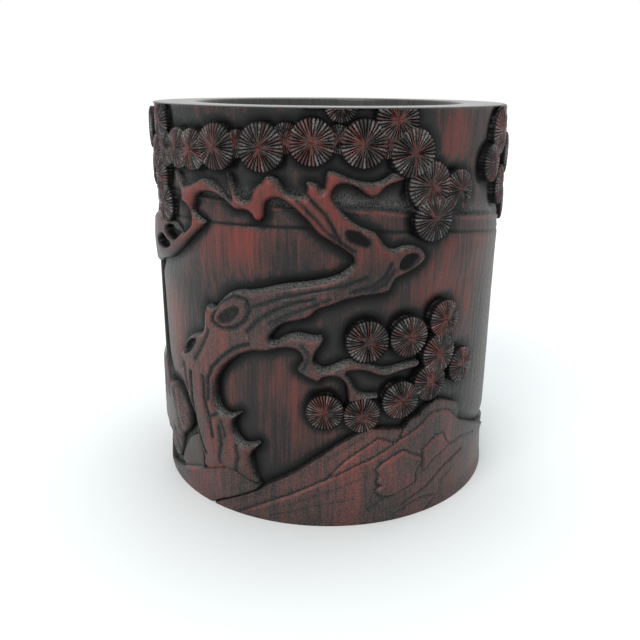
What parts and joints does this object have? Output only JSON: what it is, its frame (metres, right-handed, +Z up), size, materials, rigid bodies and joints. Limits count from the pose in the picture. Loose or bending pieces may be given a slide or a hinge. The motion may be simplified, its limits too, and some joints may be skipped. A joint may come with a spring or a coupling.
{
  "type": "brush pot",
  "caption": "Cylindrical bamboo brush pot with a pine and rocks carved in relief round its wall and a base disc set into its foot.",
  "frame": {"origin": "centre of the foot, on the surface that the pot stands on", "axes": "+Z up along the bore, -Y towards the carved front, +X to the right of the front"},
  "size_m": [0.134, 0.134, 0.141],
  "materials": {
    "carved_bamboo": "dark stained bamboo, hand polished, semi-gloss",
    "base_wood": "dark stained wood, satin"
  },
  "bodies": {
    "root": {"carved_culm_wall": "carved_bamboo", "inset_base_disc": "base_wood"}
  },
  "joints": []
}
